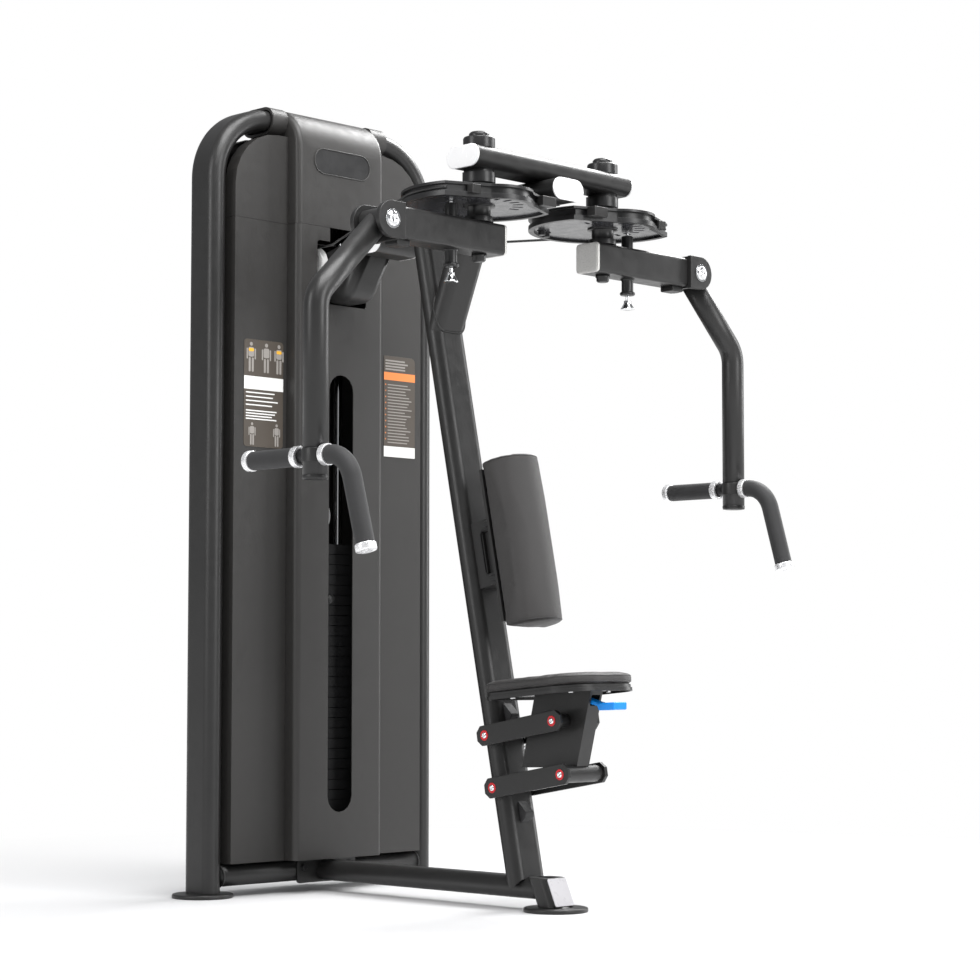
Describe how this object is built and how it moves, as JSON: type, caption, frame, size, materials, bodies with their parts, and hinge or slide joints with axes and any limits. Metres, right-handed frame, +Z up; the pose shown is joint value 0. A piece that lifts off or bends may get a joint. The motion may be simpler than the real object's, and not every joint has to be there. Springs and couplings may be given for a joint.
{
  "type": "pec fly and rear delt machine",
  "caption": "Free-standing weight-stack gym machine with swinging overhead arms, hanging handles, an upright back pad and an adjustable seat.",
  "frame": {"origin": "on the floor, at the middle of the footprint", "axes": "+Z up, -Y towards the user's side where the seat faces out, +X to the right seen from the user's side"},
  "size_m": [1.441, 1.126, 1.932],
  "materials": {
    "powder_coat": "satin black powder coat",
    "cladding": "satin dark warm-grey coat",
    "plates": "black painted iron",
    "dark_steel": "satin dark grey",
    "chrome": "polished",
    "white_cap": "gloss",
    "pale_cap": "satin light grey",
    "cable": "satin sheathed steel cable",
    "grip": "matt",
    "upholstery": "satin vinyl",
    "nylon": "satin",
    "blue": "satin",
    "badge": "satin"
  },
  "bodies": {
    "frame": {"tower_frame": "powder_coat", "base_crossmember": "powder_coat", "tower_foot_left": "powder_coat", "tower_foot_right": "powder_coat", "front_foot": "powder_coat", "pulley_bracket": "powder_coat", "base_beam": "powder_coat", "main_post": "powder_coat", "post_brace": "powder_coat", "boom": "powder_coat", "boom_neck": "powder_coat", "rear_cross_tube": "powder_coat", "crossbar": "powder_coat", "back_pad_bracket": "powder_coat", "side_panel_left": "cladding", "side_panel_right": "cladding", "center_panel": "cladding", "top_hood": "cladding", "rear_cover": "cladding", "resting_plates": "plates", "shaft_housing_left": "dark_steel", "shaft_housing_right": "dark_steel", "guide_rod_left": "chrome", "guide_rod_right": "chrome", "boom_cap": "white_cap", "crossbar_cap_left": "white_cap", "crossbar_cap_right": "white_cap", "base_beam_cap": "pale_cap", "arm_cable_left": "cable", "arm_cable_right": "cable", "back_pad": "upholstery", "badge_plate": "badge"},
    "left_cam": {"cam_left": "powder_coat"},
    "right_cam": {"cam_right": "powder_coat"},
    "left_arm": {"arm_left": "powder_coat", "arm_cap_left": "pale_cap", "hinge_bolt_left": "chrome"},
    "right_arm": {"arm_right": "powder_coat", "arm_cap_right": "pale_cap", "hinge_bolt_right": "chrome"},
    "left_pop_pin": {"pop_pin_left": "chrome"},
    "right_pop_pin": {"pop_pin_right": "chrome"},
    "left_handle": {"handle_left": "powder_coat", "rear_grip_left": "grip", "front_grip_left": "grip"},
    "right_handle": {"handle_right": "powder_coat", "rear_grip_right": "grip", "front_grip_right": "grip"},
    "lifted_stack": {"lifted_plates": "plates", "selector_rod": "chrome", "stack_cable": "cable"},
    "selector_pin": {"selector_pin": "chrome"},
    "stack_pulley": {"stack_pulley": "nylon"},
    "left_tower_pulley": {"tower_pulley_left": "nylon"},
    "right_tower_pulley": {"tower_pulley_right": "nylon"},
    "seat_link_upper": {"seat_link_upper": "powder_coat"},
    "seat_link_lower": {"seat_link_lower": "powder_coat"},
    "seat_carrier": {"seat_carrier": "powder_coat", "seat_pad": "upholstery"},
    "seat_lever": {"seat_lever": "blue"}
  },
  "joints": [
    {"name": "left_cam_swing", "type": "hinge", "parent": "frame", "child": "left_cam", "pos_m": [-0.207, -0.329, 1.59], "axis": [0, 0, 1], "range_deg": [0, 90]},
    {"name": "right_cam_swing", "type": "hinge", "parent": "frame", "child": "right_cam", "pos_m": [0.207, -0.329, 1.59], "axis": [0, 0, -1], "range_deg": [0, 90]},
    {"name": "left_arm_start", "type": "hinge", "parent": "left_cam", "child": "left_arm", "pos_m": [-0.207, -0.329, 1.5045], "axis": [0, 0, -1], "range_deg": [-90, 18]},
    {"name": "right_arm_start", "type": "hinge", "parent": "right_cam", "child": "right_arm", "pos_m": [0.207, -0.329, 1.5045], "axis": [0, 0, 1], "range_deg": [-90, 18]},
    {"name": "left_pop_pin_throw", "type": "slide", "parent": "left_arm", "child": "left_pop_pin", "axis": [0, 0, 1], "range_m": [0, 0.012]},
    {"name": "right_pop_pin_throw", "type": "slide", "parent": "right_arm", "child": "right_pop_pin", "axis": [0, 0, 1], "range_m": [0, 0.012]},
    {"name": "left_handle_swing", "type": "hinge", "parent": "left_arm", "child": "left_handle", "pos_m": [-0.515, -0.329, 1.5045], "axis": [0, 1, 0], "range_deg": [-10, 20]},
    {"name": "right_handle_swing", "type": "hinge", "parent": "right_arm", "child": "right_handle", "pos_m": [0.515, -0.329, 1.5045], "axis": [0, -1, 0], "range_deg": [-10, 20]},
    {"name": "stack_lift", "type": "slide", "parent": "frame", "child": "lifted_stack", "axis": [0, 0, 1], "range_m": [0, 0.27]},
    {"name": "selector_pin_pull", "type": "slide", "parent": "lifted_stack", "child": "selector_pin", "axis": [0, -1, 0], "range_m": [0, 0.07]},
    {"name": "stack_pulley_turn", "type": "hinge", "parent": "lifted_stack", "child": "stack_pulley", "pos_m": [0, 0.461, 0.9266], "axis": [0, 1, 0], "range_deg": [-180, 180]},
    {"name": "left_tower_pulley_turn", "type": "hinge", "parent": "frame", "child": "left_tower_pulley", "pos_m": [-0.045, 0.418, 1.549], "axis": [1, 0, 0], "range_deg": [0, 360]},
    {"name": "right_tower_pulley_turn", "type": "hinge", "parent": "frame", "child": "right_tower_pulley", "pos_m": [0.045, 0.418, 1.549], "axis": [1, 0, 0], "range_deg": [0, 360]},
    {"name": "seat_link_upper_swing", "type": "hinge", "parent": "frame", "child": "seat_link_upper", "pos_m": [0, -0.2065, 0.392], "axis": [-1, 0, 0], "range_deg": [-10, 28]},
    {"name": "seat_link_lower_swing", "type": "hinge", "parent": "frame", "child": "seat_link_lower", "pos_m": [0, -0.2312, 0.2738], "axis": [-1, 0, 0], "range_deg": [-10, 28]},
    {"name": "seat_carrier_level", "type": "hinge", "parent": "seat_link_upper", "child": "seat_carrier", "pos_m": [0, -0.4165, 0.4282], "axis": [-1, 0, 0], "range_deg": [-28, 10]},
    {"name": "seat_lever_pull", "type": "hinge", "parent": "seat_carrier", "child": "seat_lever", "pos_m": [0, -0.484, 0.475], "axis": [-1, 0, 0], "range_deg": [0, 10]}
  ],
  "couplings": [
    {"joint": "right_cam_swing", "follows": "left_cam_swing", "ratio": 1},
    {"joint": "stack_lift", "follows": "left_cam_swing", "m_per_rad": 0.1703},
    {"joint": "left_tower_pulley_turn", "follows": "left_cam_swing", "ratio": 3.9605},
    {"joint": "right_tower_pulley_turn", "follows": "left_cam_swing", "ratio": 3.9605},
    {"joint": "seat_link_lower_swing", "follows": "seat_link_upper_swing", "ratio": 1},
    {"joint": "seat_carrier_level", "follows": "seat_link_upper_swing", "ratio": -1}
  ]
}
